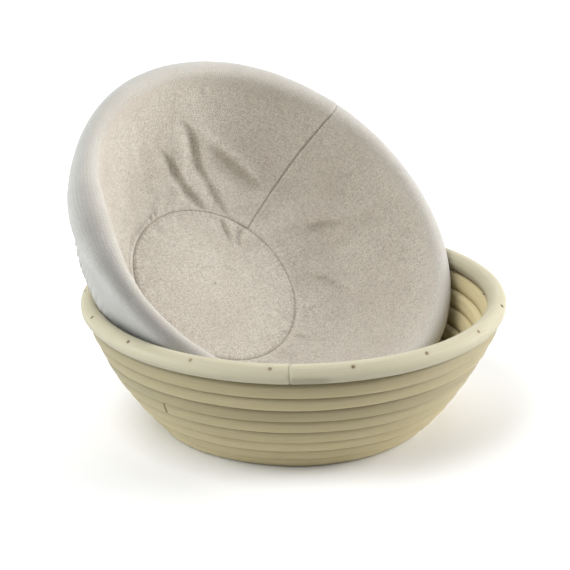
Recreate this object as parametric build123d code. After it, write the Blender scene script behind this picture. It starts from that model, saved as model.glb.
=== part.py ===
from build123d import *
import math
import os

# A pair of round cane proving baskets (bannetons) for bread dough.
#
# The first basket stands upright and is bare.  The second leans inside it and wears a linen liner.
# Each basket is a stack of cane hoops, nailed row to row, on a spiral base coil.
# Millimetres, +Z up.  The origin is the centre of the bare basket's flat underside.

# ---- cane and wall, shared by both baskets
RIM_CANE = 9.6            # diameter of the round cane of the rim hoop
ROW_THICKNESS = 7.8       # wall row, across the wall
OUTER_CORNER = 1.2        # rounding of a wall row's planed outer face
INNER_CORNER = 3.2        # rounding of its inner face
ROW_GAP = 0.25            # gap between neighbouring rows
ROWS = 8                  # wall hoops below the rim hoop
FOOT_LIFT = 1.5           # the lowest row's middle stands this much above half its height
WALL_SLOPE = 23.0         # wall angle from vertical under the rim, degrees
SLOPE_GROWTH = 1.95       # the wall leans out more by this much each row, degrees
SLOPE_CURVE = 0.14        # and by this much more for each row squared, degrees
JOINT_SLIT = 0.3          # width of the butt joint that closes each hoop
BASE_CANE = 8.6           # diameter of the base coil's cane
BASE_PLANED = 0.4         # depth planed off under the base coil
COIL_STEP = 4.35          # the base coil closes in by this much each half turn
PLUG_DIAMETER = 19.0      # plug in the eye of the base coil

# ---- the two baskets: outer diameter at the rim, and row pitch measured down the wall
BARE_DIAMETER = 220.0
BARE_PITCH = 8.65
LINED_DIAMETER = 213.6
LINED_PITCH = 7.95

# ---- nails
NAILS_PER_ROW = 17
NAIL_SHANK = 1.2
NAIL_HEAD = 1.8
NAIL_HEAD_THICKNESS = 0.5
NAIL_PROUD = 0.1
RIM_NAIL_ANGLE = 40.0     # rim nails lean out from vertical by this much, degrees
RIM_NAIL_LENGTH = 13.0
WALL_NAIL_LENGTH = 10.5
BASE_NAIL_LENGTH = 13.0
FIRST_NAIL = -96.0        # azimuth of the first rim nail, degrees

# ---- linen liner, drawn in the lined basket's own frame
CLOTH = 0.7               # thickness of the linen
CLOTH_GAP = 0.35          # clearance between cane and linen
BASE_PANEL_RADIUS = 47.5
BASE_PANEL_SHIFT = 7.5    # the round base panel is sewn in off centre by this much
BASE_PANEL_AZIMUTH = 84.0
SIDE_SEAM_AZIMUTH = 306.5
SKIRT_DEPTH = 42.0        # depth of the hem's lower edge below the centre of the rim cane
ELASTIC_WIDTH = 6.0
ELASTIC_THICKNESS = 0.7
ELASTIC_GAP = 0.3
THREAD = 0.8
RIM_FACETS = 14           # flats of the linen round the rim cane

# ---- lean of the lined basket
LEAN_TILT = 41.0          # angle between its axis and vertical, degrees
LEAN_AZIMUTH = -48.0      # the mouth faces this way, degrees from +X
LEAN_RIM_CENTRE = (-13.8, 13.5, 97.8)

# ---- butt joints: every hoop's is staggered round the back, except those placed by hand
BACK_JOINTS = 25.0        # the back runs from this azimuth, degrees
BACK_SPAN = 130.0
JOINT_STAGGER = 53.0      # from one row's joint to the next
BARE_JOINTS = {0: -91.0, 4: -133.0}


def polar(radius, azimuth, height=0.0):
    """Point at a radius and an azimuth in degrees."""
    turn = math.radians(azimuth)
    return Vector(radius * math.cos(turn), radius * math.sin(turn), height)


class WallProfile:
    """Where each row of one basket's wall sits: (radius, height, slope in degrees)."""

    def __init__(self, diameter, pitch):
        self.pitch = pitch
        self.row_height = pitch - ROW_GAP
        rim_radius = diameter / 2 - RIM_CANE / 2
        steps = [RIM_CANE / 2 + self.row_height / 2 + ROW_GAP] + [pitch] * (ROWS - 1)
        radius, depth = rim_radius, 0.0
        rows = [(radius, depth, WALL_SLOPE)]
        for row, step in enumerate(steps):
            slope = WALL_SLOPE + SLOPE_GROWTH * row + SLOPE_CURVE * row**2
            radius -= step * math.sin(math.radians(slope))
            depth += step * math.cos(math.radians(slope))
            rows.append((radius, depth, slope))
        # the lowest row rests just above the table, level with the base coil
        self.rim_height = depth + self.row_height / 2 + FOOT_LIFT
        self.rows = [(r, self.rim_height - d, s) for r, d, s in rows]

    def offset_point(self, row, distance):
        """Point beside the middle of a row, at a distance outwards square to the wall."""
        radius, height, slope = self.rows[row]
        turn = math.radians(slope)
        return radius + distance * math.cos(turn), height - distance * math.sin(turn)


def hoop(section, radius, joint_azimuth):
    """Sweep a section once round the Z axis, leaving the slit of the butt joint."""
    slit = math.degrees(JOINT_SLIT / radius)
    ring = revolve(section, Axis.Z, 360 - slit)
    return ring.rotate(Axis.Z, joint_azimuth + slit / 2)


def rim_hoop(profile, joint_azimuth):
    radius, height, _ = profile.rows[0]
    section = Plane.XZ * Pos(radius, height) * Circle(RIM_CANE / 2)
    return hoop(section, radius, joint_azimuth)


def wall_hoop(profile, row, joint_azimuth):
    """Hoop with a planed outer face and a round inner face, set square to the wall."""
    radius, height, slope = profile.rows[row]
    outline = Rectangle(ROW_THICKNESS, profile.row_height)
    inner, outer = outline.vertices().group_by(Axis.X)
    outline = fillet(inner, INNER_CORNER)
    outline = fillet(outline.vertices().group_by(Axis.X)[-1], OUTER_CORNER)
    section = Plane.XZ * Pos(radius, height) * Rot(0, 0, -slope) * outline
    return hoop(section, radius, joint_azimuth)


def base_coil(profile):
    """Flat spiral of half turns, each tangent to the last, planed flat underneath.

    Its outer end is scarfed away against the lowest wall row and its thin tip cut off.
    Its eye is drilled for the plug.
    """
    last_radius, _, _ = profile.rows[ROWS]
    half_row = math.hypot(ROW_THICKNESS, profile.row_height) / 2 - INNER_CORNER * (math.sqrt(2) - 1)
    limit = last_radius - half_row - ROW_GAP
    height = BASE_CANE / 2 - BASE_PLANED
    radius = limit - BASE_CANE / 2 + COIL_STEP
    side = -1
    edges = []
    while radius > BASE_CANE / 2 + 1:
        centre = 0.0 if side > 0 else -COIL_STEP
        edges.append(
            ThreePointArc(
                (centre + side * radius, 0, height),
                (centre, side * radius, height),
                (centre - side * radius, 0, height),
            )
        )
        radius -= COIL_STEP
        side = -side
    path = Wire(edges)
    section = Plane(origin=path @ 0, z_dir=path % 0) * Circle(BASE_CANE / 2)
    coil = sweep(section, path=path)
    blank = Pos(0, 0, BASE_CANE / 2) * Cylinder(limit, BASE_CANE)
    eye = Pos(-COIL_STEP / 2, 0, BASE_CANE / 2) * Cylinder(PLUG_DIAMETER / 2 + 0.1, 3 * BASE_CANE)
    tip = Pos(-limit, -6, height) * Box(14, 24, 3 * BASE_CANE)
    return (coil & blank) - tip - eye


def base_plug():
    """Turned plug in the eye of the base coil, flush with the planed underside."""
    height = BASE_CANE - BASE_PLANED - 0.6
    plug = Pos(-COIL_STEP / 2, 0, height / 2) * Cylinder(PLUG_DIAMETER / 2, height)
    return chamfer(plug.edges().group_by(Axis.Z)[-1], 0.8)


def nail(head, direction, length):
    """Nail with its head's top at a point, driven along a direction."""
    frame = Plane(origin=head, z_dir=direction)
    cap = Pos(0, 0, NAIL_HEAD_THICKNESS / 2) * Cylinder(NAIL_HEAD / 2, NAIL_HEAD_THICKNESS)
    shank = Pos(0, 0, length / 2) * Cylinder(NAIL_SHANK / 2, length)
    return frame * (cap + shank)


def ring_of_nails(profile, row, angle, reach, length, count, first_azimuth):
    """Nails driven down and inwards, their heads at a reach from the middle of a row."""
    radius, height, _ = profile.rows[row]
    lean = math.radians(angle)
    nails = []
    for index in range(count):
        azimuth = first_azimuth + index * 360 / count
        head = polar(radius + reach * math.sin(lean), azimuth, height + reach * math.cos(lean))
        inwards = polar(-math.sin(lean), azimuth, -math.cos(lean))
        nails.append(nail(head, inwards, length))
    return nails


def rim_nails(profile):
    reach = RIM_CANE / 2 + NAIL_PROUD
    return Compound(
        ring_of_nails(profile, 0, RIM_NAIL_ANGLE, reach, RIM_NAIL_LENGTH, NAILS_PER_ROW, FIRST_NAIL)
    )


def wall_nails(profile):
    """Nails sunk in the top of each wall row and driven into the row below."""
    nails = []
    for row in range(1, ROWS):
        radius, height, _ = profile.rows[row]
        next_radius, next_height, _ = profile.rows[row + 1]
        angle = math.degrees(math.atan2(radius - next_radius, height - next_height))
        reach = profile.row_height / 2 - 0.3
        first = FIRST_NAIL + row * 180 / NAILS_PER_ROW
        nails += ring_of_nails(profile, row, angle, reach, WALL_NAIL_LENGTH, NAILS_PER_ROW, first)
    return Compound(nails)


def base_nails(profile):
    """Nails from outside the lowest row into the outer turn of the base coil."""
    reach = ROW_THICKNESS / 2 + NAIL_PROUD
    first = FIRST_NAIL + ROWS * 180 / NAILS_PER_ROW
    return Compound(ring_of_nails(profile, ROWS, 84.0, reach, BASE_NAIL_LENGTH, NAILS_PER_ROW, first))


def basket(profile, joints, prefix):
    """Every piece of one basket, by name, in the basket's own upright frame."""
    azimuths = [joints.get(row, BACK_JOINTS + JOINT_STAGGER * row % BACK_SPAN) for row in range(ROWS + 1)]
    pieces = {"rim_hoop": rim_hoop(profile, azimuths[0])}
    for row in range(1, ROWS + 1):
        pieces[f"wall_hoop_{row}"] = wall_hoop(profile, row, azimuths[row])
    pieces["base_coil"] = base_coil(profile)
    pieces["base_plug"] = base_plug()
    pieces["rim_nails"] = rim_nails(profile)
    pieces["wall_nails"] = wall_nails(profile)
    pieces["base_nails"] = base_nails(profile)
    return {f"{prefix}_{name}": piece for name, piece in pieces.items()}


def skirt_line(profile, distance, depth):
    """Points down the outside of the wall, at a distance from it, to a depth below the rim."""
    points = [profile.offset_point(row, distance) for row in range(1, ROWS)]
    limit = profile.rim_height - depth
    line = []
    previous = None
    for point in points:
        if point[1] <= limit:
            share = (previous[1] - limit) / (previous[1] - point[1])
            line.append((previous[0] + share * (point[0] - previous[0]), limit))
            break
        line.append(point)
        previous = point
    return line


def spun(outline):
    """Closed ring from an outline of (radius, height) points."""
    face = make_face(Polyline(*[(r, 0, z) for r, z in outline], close=True))
    return revolve(face, Axis.Z, 360)


def liner_wall_panel(profile):
    """One band of linen: base seam, up the inner wall, over the rim, down to the hem."""
    near = ROW_THICKNESS / 2 + CLOTH_GAP
    far = near + CLOTH
    rim_radius, rim_height, _ = profile.rows[0]
    floor = BASE_CANE - BASE_PLANED + CLOTH_GAP

    def side(distance, lift):
        inner = [(BASE_PANEL_RADIUS - BASE_PANEL_SHIFT - 2, floor + lift)]
        corner = profile.offset_point(ROWS, -distance)
        inner.append((corner[0] - 4.0, floor + lift))
        inner += [profile.offset_point(row, -distance) for row in range(ROWS - 1, 0, -1)]
        over = RIM_CANE / 2 + CLOTH_GAP + lift
        arc = []
        for step in range(RIM_FACETS + 1):
            turn = math.radians(180 - WALL_SLOPE + 6 - step * 192 / RIM_FACETS)
            arc.append((rim_radius + over * math.cos(turn), rim_height + over * math.sin(turn)))
        return inner + arc

    under = side(near, 0.0)
    upper = side(far, CLOTH)
    skirt_near = skirt_line(profile, near + 0.15, SKIRT_DEPTH - ELASTIC_WIDTH - 2.5)
    skirt_far = skirt_line(profile, far + 0.15, SKIRT_DEPTH - ELASTIC_WIDTH - 2.5)
    band = spun(under + skirt_near + skirt_far[::-1] + upper[::-1]) + hem_casing(profile)
    hole = Pos(base_panel_centre(floor)) * Cylinder(BASE_PANEL_RADIUS + 0.4, 4 * CLOTH)
    return band - hole


def hem_casing(profile):
    """Flat pocket at the foot of the skirt that holds the elastic."""
    near = ROW_THICKNESS / 2 + CLOTH_GAP + 0.15
    pocket = ELASTIC_THICKNESS + 2 * ELASTIC_GAP
    outer = hem_band(profile, near, near + pocket + 2 * CLOTH, 0.0)
    inner = hem_band(profile, near + CLOTH, near + CLOTH + pocket, CLOTH)
    return outer - inner


def hem_band(profile, near, far, inset):
    """Ring beside the skirt between two distances from the wall, inset from the casing's ends."""
    top = SKIRT_DEPTH - ELASTIC_WIDTH - 3.0 + inset
    bottom = SKIRT_DEPTH - inset
    corners = []
    for depth, distances in ((top, (near, far)), (bottom, (far, near))):
        for distance in distances:
            corners.append(skirt_line(profile, distance, depth)[-1])
    return spun(corners)


def liner_elastic(profile):
    """Flat band lying free in the casing."""
    near = ROW_THICKNESS / 2 + CLOTH_GAP + 0.15 + CLOTH + ELASTIC_GAP
    return hem_band(profile, near, near + ELASTIC_THICKNESS, CLOTH + ELASTIC_GAP)


def base_panel_centre(height):
    return polar(BASE_PANEL_SHIFT, BASE_PANEL_AZIMUTH, height)


def liner_base_panel():
    floor = BASE_CANE - BASE_PLANED + CLOTH_GAP
    return Pos(base_panel_centre(floor + CLOTH / 2)) * Cylinder(BASE_PANEL_RADIUS, CLOTH)


def liner_base_seam():
    """Row of stitches over the joint of the base panel and the wall panel."""
    height = BASE_CANE - BASE_PLANED + CLOTH_GAP + CLOTH + 0.1 + THREAD / 2
    section = Plane.XZ * Pos(BASE_PANEL_RADIUS + 0.2, height) * Circle(THREAD / 2)
    return Pos(base_panel_centre(0)) * revolve(section, Axis.Z, 360)


def liner_side_seam(profile):
    """Thread of the side seam, laid up the inner wall from the base seam to the rim."""
    distance = ROW_THICKNESS / 2 + CLOTH_GAP + CLOTH + 0.15 + THREAD / 2
    points = [profile.offset_point(row, -distance) for row in range(ROWS - 1, 0, -1)]
    path = Polyline(*[(r, 0, z) for r, z in points])
    section = Plane(origin=path @ 0, z_dir=path % 0) * Circle(THREAD / 2)
    seam = sweep(section, path=path, transition=Transition.ROUND)
    return seam.rotate(Axis.Z, SIDE_SEAM_AZIMUTH)


def liner_hem_stitching(profile):
    """Row of stitches that closes the elastic's casing, just above it on the skirt."""
    distance = ROW_THICKNESS / 2 + CLOTH_GAP + 0.15 + CLOTH + 0.1 + THREAD / 2
    depth = SKIRT_DEPTH - ELASTIC_WIDTH - 4.5
    radius, height = skirt_line(profile, distance, depth)[-1]
    section = Plane.XZ * Pos(radius, height) * Circle(THREAD / 2)
    return revolve(section, Axis.Z, 360)


def liner(profile):
    """Every piece of the liner, by name, in the lined basket's own frame."""
    return {
        "liner_base_panel": liner_base_panel(),
        "liner_wall_panel": liner_wall_panel(profile),
        "liner_elastic": liner_elastic(profile),
        "liner_base_seam": liner_base_seam(),
        "liner_side_seam": liner_side_seam(profile),
        "liner_hem_stitching": liner_hem_stitching(profile),
    }


def lean_frame(profile):
    """Frame of the leaning basket: origin under its base, Z out of its mouth, X up the slope."""
    tilt = math.radians(LEAN_TILT)
    axis = polar(math.sin(tilt), LEAN_AZIMUTH, math.cos(tilt))
    up_slope = polar(-math.cos(tilt), LEAN_AZIMUTH, math.sin(tilt))
    origin = Vector(*LEAN_RIM_CENTRE) - axis * profile.rim_height
    return Plane(origin=origin, x_dir=up_slope, z_dir=axis)


bare_profile = WallProfile(BARE_DIAMETER, BARE_PITCH)
lined_profile = WallProfile(LINED_DIAMETER, LINED_PITCH)

parts = basket(bare_profile, BARE_JOINTS, "bare")
leaning = lean_frame(lined_profile)
for name, piece in basket(lined_profile, {}, "lined").items():
    parts[name] = leaning * piece
for name, piece in liner(lined_profile).items():
    parts[name] = leaning * piece

os.makedirs("parts", exist_ok=True)
for name, piece in parts.items():
    export_step(piece, f"parts/{name}.step")
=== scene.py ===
"""Looks of a pair of cane proving baskets, one bare and one with a linen liner.

Lengths are millimetres in each basket's own frame (axis up through its mouth) until a piece is made.
"""
import math

import bpy
import numpy as np
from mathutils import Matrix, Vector


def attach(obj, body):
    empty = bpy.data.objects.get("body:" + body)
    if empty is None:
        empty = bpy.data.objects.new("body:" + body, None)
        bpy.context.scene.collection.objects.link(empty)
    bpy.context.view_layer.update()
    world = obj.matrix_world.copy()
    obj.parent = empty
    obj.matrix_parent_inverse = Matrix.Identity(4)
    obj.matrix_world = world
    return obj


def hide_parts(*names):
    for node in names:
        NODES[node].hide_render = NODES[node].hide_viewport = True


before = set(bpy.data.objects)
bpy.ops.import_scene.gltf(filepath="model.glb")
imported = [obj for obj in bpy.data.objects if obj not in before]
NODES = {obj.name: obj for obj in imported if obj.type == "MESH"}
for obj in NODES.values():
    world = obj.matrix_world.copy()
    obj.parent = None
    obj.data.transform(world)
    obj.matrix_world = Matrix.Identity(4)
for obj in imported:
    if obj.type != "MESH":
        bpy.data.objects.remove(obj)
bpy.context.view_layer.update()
MM = 0.001
TURN = 2 * math.pi

# ---- cane
ROWS = 8
RIM_CANE = 9.6
ROW_THICKNESS = 7.8
ROW_LAP = 0.25             # neighbouring rows are pressed into each other by this much
JOINT_SLIT = 0.12          # width of the saw cut at a hoop's butt joint
BASE_CANE = 8.6
BASE_PLANED = 0.4
COIL_STEP = 4.35
OUTER_TOP = 2.5            # superellipse power of a row's outer face at its top, worn round
OUTER_FOOT = 3.8           # and at its foot, nearly square
INNER_SQUARENESS = 2.5     # and of its inner face
STEP_TILT = 5.5            # each row's face stands this much steeper than the wall, degrees
RIM_NAIL_ANGLE = 40.0      # the rim's nails lean this far out from the basket's axis
NAIL_DENT = 0.25           # depth of the dent round each nail's head
JOINT_SHADE_LENGTH = 21.0        # painted shade on the rim's lower half, for this length past its joint
HOOP_STEPS = 480
SECTION_STEPS = 36

# ---- tones of the cane, as factors on its colour
RIM_HUE = (0.94, 0.955, 1.035)     # the rim is paler and cooler than the rows
ROW_HUE = (0.94, 0.885, 0.77)
ROW_PAINTED_TONES = ((1, 0.87), (3, 0.81), (5, 0.98), (ROWS, 1.27))    # outer faces, by row: painted shade on rows 1 to 3 under the rim, painted light on the lowest rows
INNER_PAINTED_LIGHT = 1.6           # inner faces, painted lighter
ROW_SHADE = 0.60           # painted shade: how much a row darkens towards its top and foot
LAST_ROW_SHADE = 0.35

# ---- linen
CLOTH = 0.6
CLOTH_GAP = 0.45
SEAM_RADIUS = 47.5
SEAM_SHIFT = (7.5, 84.0)   # the base panel sits off centre: distance and azimuth
STAND_OFF = (0.9, 1.5, 2.1, 2.7, 3.2, 3.5, 3.6)    # more gap between the linen and wall rows 1 to 7
SKIRT_DEPTH = 42.0
SKIRT_PAINTED_SHADE = (0.79, 0.845, 0.91)    # painted shade, cooler in tone, on the linen over the rim and outside
SKIRT_BAG = (5.6, 75.0, 18.0)      # the skirt bags out on one side: how far, azimuth and spread
TUCK = (1.3, 104.0, 34.0)          # and is tucked in beside the rim: depth, azimuth and spread
CASING = 9.0
ELASTIC_WIDTH = 6.0
ELASTIC_THICKNESS = 0.7
WALL_STEPS = 960
UV_RADIUS = 84.0           # the weave is laid out to scale at this radius


# -------------------- places taken from the frame
def vertices(node):
    mesh = NODES[node].data
    flat = np.empty(len(mesh.vertices) * 3)
    mesh.vertices.foreach_get("co", flat)
    return flat.reshape(-1, 3) / MM


def extent_centre(points, axes):
    """Middle of the points' extents along each of three axes."""
    spans = points @ np.array(axes).T
    middle = (spans.max(0) + spans.min(0)) / 2
    return middle @ np.array(axes)


class Basket:
    """One basket's own frame and the place of each row, measured from its CAD hoops."""

    def __init__(self, prefix):
        self.prefix = prefix
        self.body = f"{prefix}_basket"
        rim = vertices(f"{prefix}_rim_hoop")
        _, _, turned = np.linalg.svd(rim - rim.mean(0), full_matrices=False)
        axis = turned[2] * np.sign(turned[2][2])
        side = turned[0]
        axes = [side, np.cross(axis, side), axis]
        top = extent_centre(rim, axes)
        foot = extent_centre(vertices(f"{prefix}_wall_hoop_{ROWS}"), axes)
        axis = (top - foot) / np.linalg.norm(top - foot)
        up = np.array([0.0, 0.0, 1.0])
        slope = up - axis * (up @ axis)
        if np.linalg.norm(slope) < 0.05:
            slope = np.array([1.0, 0.0, 0.0])
        slope = slope - axis * (slope @ axis)
        self.x = slope / np.linalg.norm(slope)
        self.z = axis
        self.y = np.cross(self.z, self.x)
        coil = vertices(f"{prefix}_base_coil")
        level = (coil @ axis).min()
        self.origin = top - axis * (top @ axis - level)
        self.rows = [self.measure(f"{prefix}_rim_hoop")]
        for row in range(1, ROWS + 1):
            self.rows.append(self.measure(f"{prefix}_wall_hoop_{row}"))
        self.pitch = float(np.hypot(*(np.array(self.rows[3]) - np.array(self.rows[2]))))
        self.coil_limit = self.radii(f"{prefix}_base_coil").max()
        self.plug = self.local(vertices(f"{prefix}_base_plug"))

    def local(self, points):
        return (points - self.origin) @ np.array([self.x, self.y, self.z]).T

    def radii(self, node):
        points = self.local(vertices(node))
        return np.hypot(points[:, 0], points[:, 1])

    def measure(self, node):
        points = self.local(vertices(node))
        radius = np.hypot(points[:, 0], points[:, 1])
        return (radius.max() + radius.min()) / 2, (points[:, 2].max() + points[:, 2].min()) / 2

    def slope(self, row):
        """Wall angle from vertical at a row, in radians."""
        above = self.rows[max(row - 1, 0)]
        below = self.rows[min(row + 1, ROWS)]
        return math.atan2(above[0] - below[0], above[1] - below[1])

    def beside(self, row, distance, along=0.0):
        """(radius, height) beside a row: a distance outwards square to the wall, and along it upwards."""
        turn = self.slope(row)
        radius, height = self.rows[row]
        return (
            radius + distance * math.cos(turn) + along * math.sin(turn),
            height - distance * math.sin(turn) + along * math.cos(turn),
        )

    def world(self, points):
        """Points in the basket's frame to metres in the row frame."""
        return (self.origin + points @ np.array([self.x, self.y, self.z])) * MM


bare = Basket("bare")
lined = Basket("lined")


# -------------------- camera
CAMERA_ELEVATION = math.radians(20.1)
CAMERA_DISTANCE = 1.2      # metres
CAMERA_LENS = 146.1        # millimetres, on a sensor 36 mm wide
CAMERA_SHIFT = (-0.0155, 0.0233)


def place_camera():
    """Looks at the middle of the bare basket's rim from the front, a little above."""
    data = bpy.data.cameras.new("camera")
    data.lens = CAMERA_LENS
    data.sensor_width = 36
    data.shift_x, data.shift_y = CAMERA_SHIFT
    camera = bpy.data.objects.new("camera", data)
    back = Vector((0, -math.cos(CAMERA_ELEVATION), math.sin(CAMERA_ELEVATION)))
    camera.location = Vector((0, 0, bare.rows[0][1] * MM)) + back * CAMERA_DISTANCE
    camera.rotation_euler = back.to_track_quat("Z", "Y").to_euler()
    bpy.context.scene.collection.objects.link(camera)
    bpy.context.scene.camera = camera


place_camera()
bpy.context.scene.view_settings.view_transform = "Standard"


# -------------------- mesh helpers
def ripple(angles, rng, low, high, size):
    """Smooth closed noise round a ring: waves from low to high cycles a turn, about size tall."""
    cycles = np.arange(low, high + 1)
    weight = 1 / np.sqrt(cycles)
    phase = rng.uniform(0, TURN, len(cycles))
    gain = rng.normal(0, 1, len(cycles)) * weight
    gain *= size / max(np.sqrt((gain**2).sum() / 2), 1e-9)
    return (np.cos(np.outer(angles, cycles) + phase) * gain).sum(1)


def bump_at(angles, centre, width):
    """One smooth bump round a ring, 1 at its centre."""
    away = (angles - centre + math.pi) % TURN - math.pi
    return np.exp(-((away / width) ** 2))


def smooth_step(value):
    """0 below 0, 1 above 1, with an even bend between."""
    value = np.clip(value, 0, 1)
    return value * value * (3 - 2 * value)


def make_mesh(name, points, faces, uvs, material, tint=None):
    """Object from points (n, 3) in metres, faces (m, 4) and one (u, v) for each vertex.

    A -1 at the end of a face makes it a triangle. tint is one factor or three for each vertex.
    """
    mesh = bpy.data.meshes.new(name)
    points, faces = np.asarray(points, dtype=np.float32), np.asarray(faces, dtype=np.int32)
    mesh.vertices.add(len(points))
    mesh.vertices.foreach_set("co", points.ravel())
    corners = faces.ravel()
    real = corners >= 0
    mesh.loops.add(int(real.sum()))
    mesh.loops.foreach_set("vertex_index", corners[real])
    sizes = real.reshape(faces.shape).sum(1).astype(np.int32)
    mesh.polygons.add(len(faces))
    mesh.polygons.foreach_set("loop_start", np.concatenate([[0], np.cumsum(sizes)[:-1]]).astype(np.int32))
    mesh.update(calc_edges=True)
    layer = mesh.uv_layers.new(name="UVMap")
    layer.data.foreach_set("uv", np.asarray(uvs, dtype=np.float32)[corners[real]].ravel())
    attribute = mesh.color_attributes.new("tint", "FLOAT_COLOR", "POINT")
    colours = np.ones((len(points), 4), dtype=np.float32)
    if tint is not None:
        colours[:, :3] = np.asarray(tint).reshape(len(points), -1)
    attribute.data.foreach_set("color", colours.ravel())
    mesh.polygons.foreach_set("use_smooth", np.ones(len(faces), dtype=bool))
    mesh.materials.append(material)
    mesh.validate()
    piece = bpy.data.objects.new(name, mesh)
    bpy.context.scene.collection.objects.link(piece)
    return piece


def grid_faces(rows, columns, wrap_rows=False, wrap_columns=False):
    """Quads over a grid of vertices laid out row after row."""
    r = np.arange(rows if wrap_rows else rows - 1)
    c = np.arange(columns if wrap_columns else columns - 1)
    r, c = np.meshgrid(r, c, indexing="ij")
    r2, c2 = (r + 1) % rows, (c + 1) % columns
    quads = np.stack([r * columns + c, r2 * columns + c, r2 * columns + c2, r * columns + c2], -1)
    return quads.reshape(-1, 4)


def tube_faces(rows, columns):
    """Quads round a tube whose sections are the grid's rows, with flat ends made of quads."""
    first = np.arange(columns)
    pairs = np.arange(1, columns // 2)
    ends = np.stack([first[pairs - 1], first[pairs], first[-pairs - 1], first[(-pairs) % columns]], -1)
    last = ends[:, ::-1] + (rows - 1) * columns
    return np.concatenate([grid_faces(rows, columns, wrap_columns=True), ends, last])


# -------------------- materials
class Nodes:
    """Short hand for building a material's node tree."""

    def __init__(self, name):
        self.material = bpy.data.materials.new(name)
        self.material.use_nodes = True
        self.tree = self.material.node_tree
        self.shader = self.tree.nodes["Principled BSDF"]

    def add(self, kind, inputs=None, **settings):
        node = self.tree.nodes.new(kind)
        for key, value in settings.items():
            setattr(node, key, value)
        for key, value in (inputs or {}).items():
            if isinstance(value, bpy.types.NodeSocket):
                self.tree.links.new(value, node.inputs[key])
            else:
                node.inputs[key].default_value = value
        return node

    def maths(self, operation, a, b=0.0):
        return self.add("ShaderNodeMath", {0: a, 1: b}, operation=operation).outputs[0]

    def ramp(self, value, low, high, to_low=0.0, to_high=1.0):
        inputs = {"Value": value, "From Min": low, "From Max": high, "To Min": to_low, "To Max": to_high}
        return self.add("ShaderNodeMapRange", inputs).outputs["Result"]

    def mix(self, factor, a, b, blend="MIX"):
        node = self.add("ShaderNodeMix", data_type="RGBA", blend_type=blend)
        for key, value in ((0, factor), (6, a), (7, b)):
            if isinstance(value, bpy.types.NodeSocket):
                self.tree.links.new(value, node.inputs[key])
            else:
                node.inputs[key].default_value = value
        return node.outputs[2]

    def noise(self, vector, scale, detail=2.0, roughness=0.5):
        inputs = {"Vector": vector, "Scale": scale, "Detail": detail, "Roughness": roughness}
        return self.add("ShaderNodeTexNoise", inputs).outputs["Fac"]

    def stretched(self, vector, along, across):
        node = self.add("ShaderNodeMapping", {"Vector": vector, "Scale": (along, across, 1.0)})
        return node.outputs["Vector"]

    def bump(self, height, distance, strength=1.0, normal=None):
        inputs = {"Height": height, "Distance": distance, "Strength": strength}
        if normal is not None:
            inputs["Normal"] = normal
        return self.add("ShaderNodeBump", inputs).outputs["Normal"]

    def finish(self, colour, roughness, normal, **values):
        links = self.tree.links
        links.new(colour, self.shader.inputs["Base Color"])
        links.new(normal, self.shader.inputs["Normal"])
        if isinstance(roughness, bpy.types.NodeSocket):
            links.new(roughness, self.shader.inputs["Roughness"])
        else:
            self.shader.inputs["Roughness"].default_value = roughness
        for key, value in values.items():
            self.shader.inputs[key.replace("_", " ")].default_value = value
        return self.material


def rgba(red, green, blue):
    return (red, green, blue, 1.0)


def cane_material(name, pale, deep, shadow):
    """Peeled cane: long fibres, pores and patchy colour. UV is millimetres along and round the cane."""
    n = Nodes(name)
    uv = n.add("ShaderNodeUVMap", uv_map="UVMap").outputs["UV"]
    fibres = n.noise(n.stretched(uv, 0.035, 1.9), 1.0, 5.0, 0.62)
    strands = n.noise(n.stretched(uv, 0.10, 5.5), 1.0, 3.0, 0.6)
    pores = n.noise(n.stretched(uv, 0.55, 7.0), 1.0, 2.0, 0.5)
    patches = n.noise(n.stretched(uv, 0.018, 0.09), 1.0, 3.0, 0.5)
    tint = n.add("ShaderNodeAttribute", attribute_name="tint", attribute_type="GEOMETRY").outputs["Color"]
    colour = n.mix(n.ramp(fibres, 0.30, 0.72), pale, deep)
    colour = n.mix(n.ramp(patches, 0.42, 0.75, 0.0, 0.45), colour, deep)
    colour = n.mix(n.ramp(pores, 0.62, 0.80, 0.0, 0.30), colour, shadow)
    colour = n.mix(1.0, colour, tint, "MULTIPLY")
    normal = n.bump(strands, 0.00012, 0.5)
    normal = n.bump(pores, 0.00010, 0.35, normal)
    roughness = n.ramp(fibres, 0.2, 0.8, 0.50, 0.68)
    return n.finish(colour, roughness, normal, Specular_IOR_Level=0.35, Sheen_Weight=0.05)


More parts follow.
